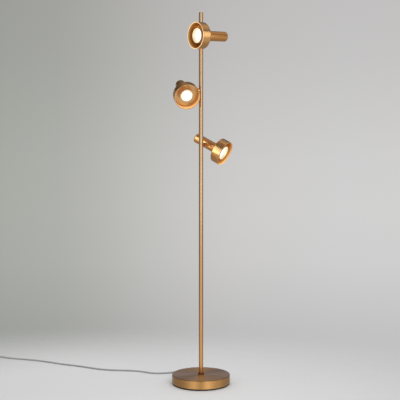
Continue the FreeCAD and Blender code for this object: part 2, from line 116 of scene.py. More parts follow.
a0 = math.radians(A_IN)
LEAD.append((COIL_C[0] + COIL_OUT * math.cos(a0) + 8.5 * math.sin(a0),
             COIL_C[1] + COIL_OUT * math.sin(a0) - 8.5 * math.cos(a0), 3.35))
total = 720 + A_OUT - A_IN + 360
n_coil = int(round(total / STEP_A))
step = total / n_coil
for i in range(n_coil):
    LEAD.append(coil_point(step * (i + 0.5)))
LEAD += [(-1192.5, 501.2, 9.75), (-1195.74, 486.09, 8.2), (-1193.79, 458.15, 6.2), (-1186.37, 435.33, 7.0), (-1183.3, 425.9, 7.0)]


def nurbs_line(points, name, resolution):
    """Points read from one open NURBS spline through the given control points, metres."""
    cd = bpy.data.curves.new(name, "CURVE")
    cd.dimensions = "3D"
    sp = cd.splines.new("NURBS")
    sp.points.add(len(points) - 1)
    for q, p in zip(sp.points, points):
        q.co = (p[0] * MM, p[1] * MM, p[2] * MM, 1.0)
    sp.order_u = 3
    sp.use_endpoint_u = True
    sp.resolution_u = resolution
    cd.resolution_u = resolution
    ob = bpy.data.objects.new(name, cd)
    sc.collection.objects.link(ob)
    bpy.context.view_layer.update()
    me = bpy.data.meshes.new_from_object(ob)
    pts = [v.co.copy() for v in me.vertices]
    bpy.data.objects.remove(ob)
    bpy.data.meshes.remove(me)
    return pts


def even(pts, spacing):
    """The same line, its points evenly spaced."""
    out = [pts[0].copy()]
    need = spacing
    for a, b in zip(pts, pts[1:]):
        seg = (b - a).length
        while seg >= need and seg > 1e-12:
            a = a + (b - a) * (need / seg)
            out.append(a.copy())
            seg = (b - a).length
            need = spacing
        need -= seg
    if (out[-1] - pts[-1]).length > spacing * 0.2:
        out.append(pts[-1].copy())
    return out


lead_pts = nurbs_line(LEAD, "lead_line", 24)
LEAD_LEN = sum((b - a).length for a, b in zip(lead_pts, lead_pts[1:]))
print("lead length %.4f m, %d points" % (LEAD_LEN, len(lead_pts)))


# ------------------------------------------------------------------ mesh helpers
def new_object(name, mesh):
    ob = bpy.data.objects.new(name, mesh)
    sc.collection.objects.link(ob)
    return ob


def samples(pts, arc_step=11.0):
    """A closed profile of (r, z[, corner radius]) as spans (p0, n0, p1, n1), normals out of the material."""
    n = len(pts)
    area = 0.0
    for i in range(n):
        a, b = pts[i], pts[(i + 1) % n]
        area += a[0] * b[1] - b[0] * a[1]
    if area < 0:
        pts = list(reversed(pts))
    spans = []
    corner = []
    for i in range(n):
        p = Vector(pts[i][:2])
        rad = pts[i][2] if len(pts[i]) > 2 else 0.0
        u = (Vector(pts[i - 1][:2]) - p).normalized()
        w = (Vector(pts[(i + 1) % n][:2]) - p).normalized()
        if rad <= 0:
            corner.append((p, p, None))
            continue
        ang = math.acos(max(-1, min(1, u.dot(w))))
        t = rad / math.tan(ang / 2)
        s, e = p + u * t, p + w * t
        c = p + (u + w).normalized() * (rad / math.sin(ang / 2))
        corner.append((s, e, c))
    for i in range(n):
        s, e, c = corner[i]
        if c is not None:
            convex = 1.0
            d_in = (s - Vector(pts[i - 1][:2])).normalized()
            n_in = Vector((d_in.y, -d_in.x))
            if (s - c).dot(n_in) < 0:
                convex = -1.0
            a_s = math.atan2((s - c).y, (s - c).x)
            a_e = math.atan2((e - c).y, (e - c).x)
            d = (a_e - a_s + math.pi) % (2 * math.pi) - math.pi
            k = max(2, int(math.ceil(abs(math.degrees(d)) / arc_step)))
            rr = (s - c).length
            prev = None
            for j in range(k + 1):
                a = a_s + d * j / k
                dirv = Vector((math.cos(a), math.sin(a)))
                q = (c + dirv * rr, dirv * convex)
                if prev is not None:
                    spans.append((prev[0], prev[1], q[0], q[1]))
                prev = q
        nxt = corner[(i + 1) % n][0]
        if (nxt - e).length > 1e-6:
            d = (nxt - e).normalized()
            nn = Vector((d.y, -d.x))
            spans.append((e, nn, nxt, nn))
    return spans


def lathe(name, profile, segs, matrix=None, move=None, arc_step=11.0, long_cuts=0):
    """Closed solid turned about local Z from a closed profile in mm, placed by matrix. Each vertex keeps its own-frame place in the attribute lc."""
    spans = samples(profile, arc_step)
    if long_cuts:
        cut = []
        for p0, n0, p1, n1 in spans:
            ln = (p1 - p0).length
            k = max(1, int(ln / long_cuts))
            for j in range(k):
                cut.append((p0.lerp(p1, j / k), n0.lerp(n1, j / k), p0.lerp(p1, (j + 1) / k), n0.lerp(n1, (j + 1) / k)))
        spans = cut
    keys, order = {}, []

    def key(p):
        return (round(p.x, 5), round(p.y, 5))
    for sp in spans:
        for p in (sp[0], sp[2]):
            if key(p) not in keys:
                keys[key(p)] = len(order)
                order.append(p)
    verts, first = [], []
    for p in order:
        first.append(len(verts))
        if abs(p.x) < 1e-5:
            verts.append(Vector((0, 0, p.y)))
        else:
            for j in range(segs):
                a = 2 * math.pi * j / segs
                verts.append(Vector((p.x * math.cos(a), p.x * math.sin(a), p.y)))
    if move is not None:
        verts = [move(v) for v in verts]
    faces, uvs, norms = [], [], []
    v_run = 0.0
    for p0, n0, p1, n1 in spans:
        length = (p1 - p0).length
        i0, i1 = keys[key(p0)], keys[key(p1)]
        ax0, ax1 = abs(p0.x) < 1e-5, abs(p1.x) < 1e-5
        if i0 == i1 or (ax0 and ax1):
            continue
        va, vb = v_run * 0.01, (v_run + length) * 0.01
        v_run += length
        for j in range(segs):
            k = (j + 1) % segs
            t0, t1 = 2 * math.pi * j / segs, 2 * math.pi * (j + 1) / segs
            tm = (t0 + t1) / 2
            u0, u1 = j / segs, (j + 1) / segs

            def nv(nn, t):
                return Vector((nn.x * math.cos(t), nn.x * math.sin(t), nn.y))
            if ax0:
                faces.append((first[i0], first[i1] + k, first[i1] + j))
                uvs += [((u0 + u1) / 2, va), (u1, vb), (u0, vb)]
                norms += [nv(n0, tm), nv(n1, t1), nv(n1, t0)]
            elif ax1:
                faces.append((first[i0] + j, first[i0] + k, first[i1]))
                uvs += [(u0, va), (u1, va), ((u0 + u1) / 2, vb)]
                norms += [nv(n0, t0), nv(n0, t1), nv(n1, tm)]
            else:
                faces.append((first[i0] + j, first[i0] + k, first[i1] + k, first[i1] + j))
                uvs += [(u0, va), (u1, va), (u1, vb), (u0, vb)]
                norms += [nv(n0, t0), nv(n0, t1), nv(n1, t1), nv(n1, t0)]
    m = matrix or Matrix.Identity(4)
    rot = m.to_3x3()
    me = bpy.data.meshes.new(name)
    me.from_pydata([(m @ v) * MM for v in verts], [], faces)
    me.polygons.foreach_set("use_smooth", [True] * len(me.polygons))
    uv = me.uv_layers.new(name="UVMap")
    for i, c in enumerate(uvs):
        uv.data[i].uv = c
    at = me.attributes.new("lc", "FLOAT_VECTOR", "POINT")
    flat = []
    for v in verts:
        flat += [v.x * MM, v.y * MM, v.z * MM]
    at.data.foreach_set("vector", flat)
    me.update()
    me.normals_split_custom_set([(rot @ x).normalized() for x in norms])
    return new_object(name, me)


def finish_piece(ob, material, body, node=None):
    ob.data.materials.clear()
    ob.data.materials.append(material)
    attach(ob, body)
    if node:
        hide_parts(*([node] if isinstance(node, str) else node))
    return ob


def join(name, obs):
    """One object of several meshes that are one piece."""
    bpy.ops.object.select_all(action="DESELECT")
    for o in obs:
        o.select_set(True)
    bpy.context.view_layer.objects.active = obs[0]
    bpy.ops.object.join()
    obs[0].name = name
    obs[0].data.name = name
    return obs[0]


# ------------------------------------------------------------------ material helpers
def material(name):
    m = bpy.data.materials.new(name)
    m.use_nodes = True
    nt = m.node_tree
    return m, nt, nt.nodes["Principled BSDF"]


def link(nt, a, b):
    nt.links.new(a, b)


def node(nt, kind, **values):
    n = nt.nodes.new(kind)
    for k, v in values.items():
        setattr(n, k, v)
    return n


def math_node(nt, op, a, b=None, c=None):
    n = node(nt, "ShaderNodeMath", operation=op)
    for i, x in enumerate((a, b, c)):
        if x is None:
            continue
        if isinstance(x, (int, float)):
            n.inputs[i].default_value = x
        else:
            link(nt, x, n.inputs[i])
    return n.outputs[0]


def own_place(nt, cad=False):
    """The piece's own coordinates, metres: turned pieces carry them, the others use the lamp's frame."""
    if cad:
        return node(nt, "ShaderNodeTexCoord").outputs["Object"]
    return node(nt, "ShaderNodeAttribute", attribute_type="GEOMETRY", attribute_name="lc").outputs["Vector"]


def noise(nt, vector, scale, detail=3.0, rough=0.55, dims="3D"):
    n = node(nt, "ShaderNodeTexNoise", noise_dimensions=dims)
    n.inputs["Scale"].default_value = scale
    n.inputs["Detail"].default_value = detail
    n.inputs["Roughness"].default_value = rough
    link(nt, vector, n.inputs["Vector"])
    return n.outputs["Fac"]


def ramp(nt, fac, stops):
    n = node(nt, "ShaderNodeValToRGB")
    e = n.color_ramp.elements
    while len(e) > 1:
        e.remove(e[-1])
    for i, (pos, col) in enumerate(stops):
        el = e[0] if i == 0 else e.new(pos)
        el.position = pos
        if isinstance(col, (int, float)):
            col = (col, col, col)
        el.color = (col[0], col[1], col[2], 1.0)
    link(nt, fac, n.inputs["Fac"])
    return n.outputs["Color"]


def mapped(nt, value, a, b, lo=0.0, hi=1.0):
    n = node(nt, "ShaderNodeMapRange")
    n.inputs["From Min"].default_value = lo
    n.inputs["From Max"].default_value = hi
    n.inputs["To Min"].default_value = a
    n.inputs["To Max"].default_value = b
    link(nt, value, n.inputs["Value"])
    return n.outputs["Result"]


def bump(nt, height, strength, distance):
    n = node(nt, "ShaderNodeBump")
    n.inputs["Strength"].default_value = strength
    n.inputs["Distance"].default_value = distance
    link(nt, height, n.inputs["Height"])
    return n.outputs["Normal"]


def brushed(name, tint_lo, tint_hi, rough=(0.26, 0.34), aniso=0.7, along=False, lines=1100.0, depth=0.004, cad=False, foot_shade_tint=None, painted_light=None, coat=0.0, painted_edge_shade=None):
    """Brushed metal. Lines run round the piece's own Z axis, or along it. Optional painted light and shade: emission
    and darker colour inside a shade or on a glare ring, a dark line along a turned rim, darker colour towards the foot.
    """
    m, nt, b = material(name)
    at = own_place(nt, cad)
    sep = node(nt, "ShaderNodeSeparateXYZ")
    link(nt, at, sep.inputs[0])
    x, y, z = sep.outputs
    r = math_node(nt, "SQRT", math_node(nt, "ADD", math_node(nt, "MULTIPLY", x, x), math_node(nt, "MULTIPLY", y, y)))
    rs = math_node(nt, "MAXIMUM", r, 0.0005)
    cx, cy = math_node(nt, "DIVIDE", x, rs), math_node(nt, "DIVIDE", y, rs)
    com = node(nt, "ShaderNodeCombineXYZ")
    if along:
        # lines along Z: fast round the piece, slow along it
        link(nt, math_node(nt, "MULTIPLY", x, lines), com.inputs[0])
        link(nt, math_node(nt, "MULTIPLY", y, lines), com.inputs[1])
        link(nt, math_node(nt, "MULTIPLY", z, 7.0), com.inputs[2])
    else:
        # lines round Z: fast across, slow round the piece
        link(nt, math_node(nt, "ADD", math_node(nt, "MULTIPLY", r, lines), math_node(nt, "MULTIPLY", cx, 0.9)), com.inputs[0])
        link(nt, math_node(nt, "MULTIPLY", cy, 0.9), com.inputs[1])
        link(nt, math_node(nt, "MULTIPLY", z, lines), com.inputs[2])
    fine = noise(nt, com.outputs[0], 1.0, 2.0, 0.6)
    broad = noise(nt, at, 26.0, 2.0, 0.5)
    shade = math_node(nt, "ADD", math_node(nt, "MULTIPLY", fine, 0.6), math_node(nt, "MULTIPLY", broad, 0.4))
    col = ramp(nt, shade, [(0.30, tint_lo), (0.70, tint_hi)])
    if foot_shade_tint:
        # painted shade: the brass turns darker and warmer towards the foot
        mix = node(nt, "ShaderNodeMix", data_type="RGBA", blend_type="MIX")
        link(nt, mapped(nt, math_node(nt, "ADD", z, math_node(nt, "MULTIPLY", broad, 0.08)), 1.0, 0.0, foot_shade_tint[1], foot_shade_tint[2]), mix.inputs["Factor"])
        link(nt, col, mix.inputs["A"])
        mix.inputs["B"].default_value = (*foot_shade_tint[0], 1.0)
        col = mix.outputs["Result"]
    if painted_edge_shade:
        # painted shade: a dark line along the turned rim between top and side
        em = math_node(nt, "MULTIPLY", mapped(nt, r, 0.0, 1.0, painted_edge_shade[0] - 0.0012, painted_edge_shade[0]), mapped(nt, z, 0.0, 1.0, painted_edge_shade[1] - 0.0004, painted_edge_shade[1] + 0.0004))
        dk = node(nt, "ShaderNodeMix", data_type="RGBA", blend_type="MULTIPLY")
        link(nt, em, dk.inputs["Factor"])
        link(nt, col, dk.inputs["A"])
        dk.inputs["B"].default_value = (0.42, 0.36, 0.32, 1.0)
        col = dk.outputs["Result"]
    inside = face = None
    if painted_light and painted_light[0] == "shade":
        inside = math_node(nt, "MULTIPLY", math_node(nt, "LESS_THAN", r, 0.05125), math_node(nt, "GREATER_THAN", z, 0.0478))
    elif painted_light:
        face = math_node(nt, "MULTIPLY", math_node(nt, "LESS_THAN", r, 0.0296), math_node(nt, "GREATER_THAN", z, 0.0700))
    if painted_light:
        # painted shade: the base colour is darker inside the drum and on the ring's sloping face round the lens
        deep = node(nt, "ShaderNodeMix", data_type="RGBA", blend_type="MIX")
        link(nt, inside or face, deep.inputs["Factor"])
        link(nt, col, deep.inputs["A"])
        deep.inputs["B"].default_value = (*(painted_light[7] if inside else painted_light[3]), 1.0)
        col = deep.outputs["Result"]
    link(nt, col, b.inputs["Base Color"])
    link(nt, mapped(nt, shade, rough[0], rough[1], 0.3, 0.7), b.inputs["Roughness"])
    b.inputs["Metallic"].default_value = 1.0
    if painted_light and painted_light[0] == "shade":
        # painted light inside the drum only: dim in the groove, stronger up the wall, palest by the lip
        link(nt, ramp(nt, mapped(nt, z, 0.0, 1.0, 0.048, 0.0856), [
            (k, (1.0, g_ + painted_light[6], b_ + painted_light[6])) for k, g_, b_ in ((0.0, 0.34, 0.06), (0.55, 0.42, 0.09), (0.74, 0.50, 0.13), (0.92, 0.58, 0.22), (1.0, 0.64, 0.32))]), b.inputs["Emission Color"])
        wall = node(nt, "ShaderNodeFloatCurve")
        cv = wall.mapping.curves[0]
        for k, (cx_, cy_) in enumerate(((0.0, 0.06), (0.12, 0.16), (0.60, 0.36 * painted_light[8]), (0.76, 0.60 * painted_light[8]), (0.90, painted_light[9]), (1.0, painted_light[9]))):
            if k < 2:
                cv.points[k].location = (cx_, cy_)
            else:
                cv.points.new(cx_, cy_)
        wall.mapping.update()
        link(nt, mapped(nt, z, 0.0, 1.0, 0.048, 0.0856), wall.inputs["Value"])
        # painted light: stronger on the lower half of the wall, standing in for light bounced up from below
        low_half = mapped(nt, math_node(nt, "MULTIPLY", y, painted_light[2]), painted_light[3], painted_light[4], -0.045, 0.045)
        lit = math_node(nt, "MULTIPLY", math_node(nt, "MULTIPLY", inside, wall.outputs["Value"]),
                        math_node(nt, "MULTIPLY", math_node(nt, "MULTIPLY", mapped(nt, broad, 0.9, 1.1, 0.3, 0.7), low_half), painted_light[1]))
        # painted highlight: the lip's front face shines as emission
        lip = math_node(nt, "MULTIPLY", math_node(nt, "MULTIPLY", math_node(nt, "GREATER_THAN", r, 0.05115), math_node(nt, "GREATER_THAN", z, 0.0849)), painted_light[5])
        link(nt, math_node(nt, "ADD", lit, lip), b.inputs["Emission Strength"])
    if painted_light and painted_light[0] == "ring":
        # painted light on the ring: the sloping face round the lens, and faintly the ring's outer wall
        slope = mapped(nt, r, 1.0, 0.80, 0.0226, 0.0295)
        outer = math_node(nt, "MULTIPLY", math_node(nt, "GREATER_THAN", r, 0.0297), 0.10)
        b.inputs["Emission Color"].default_value = (*painted_light[2], 1.0)
        link(nt, math_node(nt, "ADD", outer, math_node(nt, "MULTIPLY", math_node(nt, "MULTIPLY", face, slope), painted_light[1])), b.inputs["Emission Strength"])
    if coat:
        b.inputs["Coat Weight"].default_value = coat
        b.inputs["Coat Roughness"].default_value = 0.22
        b.inputs["Coat IOR"].default_value = 1.5
    b.inputs["Anisotropic"].default_value = aniso
    b.inputs["Anisotropic Rotation"].default_value = 0.0 if along else 0.25
    if not cad:
        tan = node(nt, "ShaderNodeTangent", direction_type="UV_MAP", uv_map="UVMap")
        link(nt, tan.outputs[0], b.inputs["Tangent"])
    link(nt, bump(nt, fine, depth, 0.0001), b.inputs["Normal"])
    return m


def moulded(name, lo, hi, rough=(0.45, 0.6), grain=2600.0, depth=0.25, spec=0.5, cad=False, metallic=0.0, dist=0.00008, broad_scale=45.0):
    """Plastic, rubber, felt, ceramic or cast metal with a grain."""
    m, nt, b = material(name)
    at = own_place(nt, cad)
    fine = noise(nt, at, grain, 2.0, 0.6)
    broad = noise(nt, at, broad_scale, 3.0, 0.5)
    shade = math_node(nt, "ADD", math_node(nt, "MULTIPLY", fine, 0.5), math_node(nt, "MULTIPLY", broad, 0.5))
    link(nt, ramp(nt, shade, [(0.32, lo), (0.68, hi)]), b.inputs["Base Color"])
    link(nt, mapped(nt, shade, rough[0], rough[1], 0.3, 0.7), b.inputs["Roughness"])
    b.inputs["Metallic"].default_value = metallic
    b.inputs["Specular IOR Level"].default_value = spec
    link(nt, bump(nt, fine, depth, dist), b.inputs["Normal"])
    return m


# ------------------------------------------------------------------ materials
BR_LO, BR_HI = (0.72, 0.378, 0.138), (0.77, 0.418, 0.160)
M_SPUN = brushed("brass_spun", BR_LO, BR_HI, rough=(0.24, 0.28), aniso=0.5)
# the base cover carries a painted dark line along its turned rim
M_TOPS = brushed("brass_base_spun", (0.74, 0.378, 0.118), (0.79, 0.415, 0.136), rough=(0.36, 0.41), aniso=0.8, lines=900.0, coat=0.5, painted_edge_shade=(0.1200, 0.0388))
# painted shade: the foot collar is dark brass, standing in for the shadow gap at the pole's foot
M_FOOT_SHADE = brushed("brass_foot_painted_shade", (0.22, 0.108, 0.034), (0.28, 0.14, 0.047), rough=(0.34, 0.42), aniso=0.4)
# the drawn pole tubes carry painted shade, darker and warmer towards the foot
M_DRAWN = brushed("brass_drawn", (0.74, 0.46, 0.235), (0.79, 0.50, 0.265), rough=(0.15, 0.19), aniso=0.7, lines=700.0, foot_shade_tint=((0.70, 0.365, 0.145), 0.25, 0.85))
M_TUBE = brushed("brass_tube", (0.72, 0.325, 0.100), (0.77, 0.365, 0.122), rough=(0.26, 0.31), aniso=0.6, along=True, lines=1500.0)
# the rings and shades carry painted light and painted shade, set per spot
M_RING = {
    "top": brushed("brass_ring_top", (0.72, 0.40, 0.145), (0.80, 0.47, 0.185), rough=(0.34, 0.42), aniso=0.5, painted_light=("ring", 0.85, (1.0, 0.87, 0.62), (0.44, 0.27, 0.12))),
    "middle": brushed("brass_ring_middle", (0.72, 0.40, 0.145), (0.80, 0.47, 0.185), rough=(0.34, 0.42), aniso=0.5, painted_light=("ring", 0.42, (1.0, 0.64, 0.32), (0.22, 0.13, 0.06))),
    "lower": brushed("brass_ring_lower", (0.72, 0.40, 0.145), (0.80, 0.47, 0.185), rough=(0.34, 0.42), aniso=0.5, painted_light=("ring", 0.85, (1.0, 0.87, 0.62), (0.44, 0.27, 0.12))),
}
M_SHADE = {n: brushed("brass_shade_" + n, BR_LO, BR_HI, rough=(0.24, 0.28), aniso=0.5, painted_light=("shade",) + g)
           for n, g in (("top", (0.36, 1.0, 1.05, 0.85, 1.5, 0.0, (0.42, 0.215, 0.075), 1.0, 1.0)),
                        ("middle", (0.84, -1.0, 1.45, 0.42, 0.0, 0.085, (0.50, 0.30, 0.13), 1.60, 0.22)),
                        ("lower", (0.75, 1.0, 1.25, 0.40, 0.35, 0.02, (0.48, 0.26, 0.085), 1.0, 1.0)))}
M_PLATE = moulded("black_coated_steel", (0.008, 0.007, 0.007), (0.018, 0.016, 0.015), rough=(0.5, 0.62), depth=0.2, spec=0.3)
M_FELT = moulded("black_felt", (0.006, 0.006, 0.006), (0.030, 0.029, 0.028), rough=(0.9, 1.0), grain=1500.0, depth=0.9, spec=0.15, dist=0.0004)
M_PLASTIC = moulded("black_plastic", (0.012, 0.012, 0.013), (0.022, 0.022, 0.023), rough=(0.34, 0.46), grain=3400.0)
M_RUBBER = moulded("black_rubber", (0.010, 0.010, 0.010), (0.024, 0.024, 0.024), rough=(0.55, 0.7), grain=1800.0, spec=0.35)


def emissive_lens(name):
    """Frosted lamp lens: white in the middle, warmer to the rim, with a dot pattern."""
    m, nt, b = material(name)
    at = own_place(nt)
    sep = node(nt, "ShaderNodeSeparateXYZ")
    link(nt, at, sep.inputs[0])
    x, y, z = sep.outputs
    r = math_node(nt, "SQRT", math_node(nt, "ADD", math_node(nt, "MULTIPLY", x, x), math_node(nt, "MULTIPLY", y, y)))
    vor = node(nt, "ShaderNodeTexVoronoi", feature="F1", distance="EUCLIDEAN")
    vor.inputs["Scale"].default_value = 260.0
    link(nt, at, vor.inputs["Vector"])
    dots = mapped(nt, vor.outputs["Distance"], 1.0, 0.78, 0.05, 0.55)
    col = ramp(nt, mapped(nt, r, 0.0, 1.0, 0.0, 0.0225),
               [(0.0, (1.0, 0.965, 0.905)), (0.80, (1.0, 0.955, 0.88)), (1.0, (1.0, 0.88, 0.70))])
    b.inputs["Base Color"].default_value = (0.9, 0.88, 0.82, 1)
    b.inputs["Roughness"].default_value = 0.35
    link(nt, col, b.inputs["Emission Color"])
    fall = mapped(nt, r, 1.10, 0.96, 0.012, 0.0222)
    link(nt, math_node(nt, "MULTIPLY", fall, dots), b.inputs["Emission Strength"])
    link(nt, bump(nt, vor.outputs["Distance"], 0.4, 0.0006), b.inputs["Normal"])
    return m


def emissive_rim(name):
    """White plastic of the lamp, glowing through towards its front."""
    m, nt, b = material(name)
    at = own_place(nt)
    sep = node(nt, "ShaderNodeSeparateXYZ")
    link(nt, at, sep.inputs[0])
    fine = noise(nt, at, 2600.0)
    link(nt, ramp(nt, fine, [(0.3, (0.74, 0.72, 0.68)), (0.7, (0.84, 0.82, 0.78))]), b.inputs["Base Color"])
    link(nt, mapped(nt, fine, 0.4, 0.52), b.inputs["Roughness"])
    b.inputs["Emission Color"].default_value = (1.0, 0.72, 0.38, 1)
    link(nt, mapped(nt, sep.outputs[2], 0.0, 0.9, 0.0600, 0.0690), b.inputs["Emission Strength"])
    link(nt, bump(nt, fine, 0.2, 0.00005), b.inputs["Normal"])
    return m


M_LENS = emissive_lens("lamp_lens")
M_BULB = emissive_rim("lamp_body")


def braid(name):
    """Grey textile braid over the lead: two sets of yarns crossing."""
    m, nt, b = material(name)
    uvn = node(nt, "ShaderNodeUVMap", uv_map="UVMap")
    sep = node(nt, "ShaderNodeSeparateXYZ")
    link(nt, uvn.outputs[0], sep.inputs[0])
    u, v, _ = sep.outputs
    ph = math_node(nt, "MULTIPLY", u, 2 * math.pi * 8)
    pv = math_node(nt, "MULTIPLY", v, 2 * math.pi / 3.2)
    s1 = math_node(nt, "SINE", math_node(nt, "ADD", ph, pv))
    s2 = math_node(nt, "SINE", math_node(nt, "SUBTRACT", ph, pv))
    cross = mapped(nt, math_node(nt, "MULTIPLY", s1, s2), 0.0, 1.0, -1.0, 1.0)
    at = own_place(nt, True)
    fibre = noise(nt, at, 5200.0, 2.0)
    long_var = noise(nt, at, 22.0, 2.0)
    shade = math_node(nt, "ADD", math_node(nt, "MULTIPLY", cross, 0.45),
                      math_node(nt, "ADD", math_node(nt, "MULTIPLY", fibre, 0.3), math_node(nt, "MULTIPLY", long_var, 0.25)))
    link(nt, ramp(nt, shade, [(0.15, (0.21, 0.21, 0.21)), (0.55, (0.375, 0.377, 0.38)), (0.85, (0.51, 0.512, 0.515))]), b.inputs["Base Color"])
    b.inputs["Roughness"].default_value = 0.86
    b.inputs["Specular IOR Level"].default_value = 0.25
    b.inputs["Sheen Weight"].default_value = 0.25
    b.inputs["Sheen Roughness"].default_value = 0.5
    link(nt, bump(nt, math_node(nt, "ADD", cross, math_node(nt, "MULTIPLY", fibre, 0.4)), 0.6, 0.00025), b.inputs["Normal"])
    return m


M_BRAID = braid("grey_braid")

# ------------------------------------------------------------------ base
BASE_R, EDGE = 121.5, 1.6
Z0, Z1 = 6.3, 40.5
cover = lathe("base_cover_turned", [
    (5.3, Z1 - 1.5), (BASE_R - 1.5, Z1 - 1.5, 1.0), (BASE_R - 1.5, Z0), (BASE_R, Z0, 0.4), (BASE_R, Z1, EDGE), (5.3, Z1)],
    288, arc_step=9.0, long_cuts=12)
finish_piece(cover, M_TOPS, "stand", "base_cover")
plate = lathe("base_plate_rim", [
    (0, 2.0), (120.6, 2.0, 0.5), (120.6, 6.25, 0.2), (119.9, 6.3), (119.9, 8.3, 0.3), (0, 8.3)], 256)
finish_piece(plate, M_PLATE, "stand", "base_plate")
pad = lathe("floor_pad_felt", [(0, 0), (116, 0, 0.6), (116, 2.0), (0, 2.0)], 256, long_cuts=14)
finish_piece(pad, M_FELT, "stand", "floor_pad")

# ------------------------------------------------------------------ pole
FOOT = 46.5
foot = lathe("pole_foot_collar", [
    (5, 40.5), (12.6, 40.5, 0.25), (12.6, FOOT, 0.9), (9.15, FOOT, 0.15), (9.15, FOOT - 0.4), (7.8, FOOT - 0.4), (7.8, FOOT + 20, 0.5), (5, FOOT + 20)], 128)
finish_piece(foot, M_FOOT_SHADE, "stand", "pole_foot")
for nm, za, zb in (("lower", FOOT, 500.0), ("middle", 500.0, 950.0), ("upper", 950.0, 1548.5)):
    p = lathe("pole_tube_" + nm, [(7.8, za), (POLE_R, za, 0.22), (POLE_R, zb, 0.22), (7.8, zb)], 96, arc_step=30.0, long_cuts=25)
    finish_piece(p, M_DRAWN, "stand", "pole_" + nm)
cap = lathe("pole_cap_turned", [(0, 1538.5), (7.8, 1538.5, 0.6), (7.8, 1548.5), (POLE_R, 1548.5, 0.15), (POLE_R, 1550, 0.6), (0, 1550)], 96)
finish_piece(cap, M_SPUN, "stand", "pole_top_cap")


# ------------------------------------------------------------------ spots
def head_frames(h, psi, side, tilt):
    """Own frames of a spot's pieces in the lamp's frame: about the tube's axis, and about the arm's."""
    p, e = math.radians(psi), math.radians(tilt)
    n = Vector((math.cos(p), math.sin(p), 0))
    t = Vector((math.sin(p), -math.cos(p), 0)) * side
    up = Vector((0, 0, 1))
    a = t * math.cos(e) + up * math.sin(e)
    y = a.cross(n)
    turn = Matrix(((n.x, y.x, a.x, n.x * HEAD_D), (n.y, y.y, a.y, n.y * HEAD_D), (n.z, y.z, a.z, h), (0, 0, 0, 1)))
    s = n.cross(up)
    arm = Matrix(((up.x, -s.x, n.x, 0), (up.y, -s.y, n.y, 0), (up.z, -s.z, n.z, h), (0, 0, 0, 1)))
    b = n.cross(a)
    swivel = Matrix(((b.x, -a.x, n.x, 0), (b.y, -a.y, n.y, 0), (b.z, -a.z, n.z, h), (0, 0, 0, 1)))
    for m in (arm, swivel):
        if m.to_3x3().determinant() < 0:
            for i in range(3):
                m[i][1] = -m[i][1]
    return turn, arm, swivel, a


def cope_pole(v):
    """The arm's root follows the pole's round wall."""
    if v.z < 3.0:
        q = min(abs(v.y), POLE_R - 0.01)
        v = Vector((v.x, v.y, math.sqrt(POLE_R * POLE_R - q * q) + (0.0 if v.z < 1 else 0.9)))
    return v


def cope_tube(v):
    """The saddle's far end follows the spot's round tube, which runs along local Y."""
    if v.z > 54.0:
        q = min(abs(v.x), TUBE_R - 0.01)
        v = Vector((v.x, v.y, HEAD_D - math.sqrt(TUBE_R * TUBE_R - q * q) + 0.02))
    return v


for name, h, psi, side, tilt in HEADS:
    turn, arm_m, swivel_m, light_dir = head_frames(h, psi, side, tilt)
    body = "spot_" + name
    o = lathe("spot_tube_" + name, [
        (0, -67.9), (TUBE_R, -67.9, 4.0), (TUBE_R, 46.4, 0.2), (19.2, 46.4), (19.2, 52.4, 0.3), (18.2, 52.4), (18.2, -66.1, 2.2), (0, -66.1)],
        144, turn, arc_step=8.0, long_cuts=10)
    finish_piece(o, M_TUBE, body, "housing_" + name)
    o = lathe("spot_shade_" + name, [
        (19.2, 46.4), (53.0, 46.4, 3.2), (53.0, 85.2, 0.7), (51.0, 85.2, 0.7), (51.0, 47.9, 2.5), (19.2, 47.9)],
        224, turn, arc_step=9.0, long_cuts=6)
    finish_piece(o, M_SHADE[name], body, "shade_" + name)
    o = lathe("spot_ring_" + name, [
        (19.2, 47.9), (30.0, 47.9), (30.0, 78.4, 0.45), (29.1, 78.4, 0.3), (22.6, 70.6, 0.2), (23.3, 70.0), (28.6, 76.3), (28.6, 51.5, 1.0), (19.2, 51.5)],
        160, turn, arc_step=15.0, long_cuts=3)
    finish_piece(o, M_RING[name], body, "glare_ring_" + name)
    lamp = lathe("spot_lamp_" + name, [
        (0, 22.0), (13.0, 22.0, 0.8), (15.2, 25.0), (15.2, 38.0), (16.4, 50.0), (17.6, 52.8),
        (24.4, 63.0, 4.0), (25.0, 66.0), (25.0, 69.0, 0.5), (22.05, 69.0, 0.2), (22.05, 67.45), (0, 67.45)], 128, turn, long_cuts=6)
    pins = []
    for s in (-1, 1):
        off = Matrix.Translation((0, s * 5.0, 0))
        pins.append(lathe("pin", [(0, 16.0), (2.35, 16.0, 0.3), (2.35, 18.0), (1.6, 18.0), (1.6, 22.05), (0, 22.05)], 24, turn @ off))
    lamp = join("spot_lamp_" + name, [lamp] + pins)
    finish_piece(lamp, M_BULB, body, "bulb_body_" + name)
    o = lathe("spot_lens_" + name, [(0, 67.5), (22.0, 67.5), (22.0, 68.9), (21.0, 69.6, 1.0), (0, 69.6)], 128, turn, long_cuts=2)
    finish_piece(o, M_LENS, body, "bulb_lens_" + name)
    o = lathe("spot_arm_" + name, [
        (2.6, 0.0), (7.5, 0.0), (7.5, 2.0), (7.5, 51.5, 0.6), (5.0, 51.5), (5.0, 65.5, 0.4), (2.6, 65.5)],
        72, arm_m, move=cope_pole, long_cuts=8)
    finish_piece(o, M_TUBE, "stand", "arm_" + name)
    o = lathe("spot_saddle_" + name, [
        (5.05, 52.3), (8.5, 52.3, 0.5), (8.5, 53.6), (8.5, 55.0), (5.05, 55.0)],
        72, swivel_m, move=cope_tube)
    finish_piece(o, M_SPUN, body, "swivel_saddle_" + name)

# ------------------------------------------------------------------ mains lead
WRAP, RISE = 40, 0.55 * MM


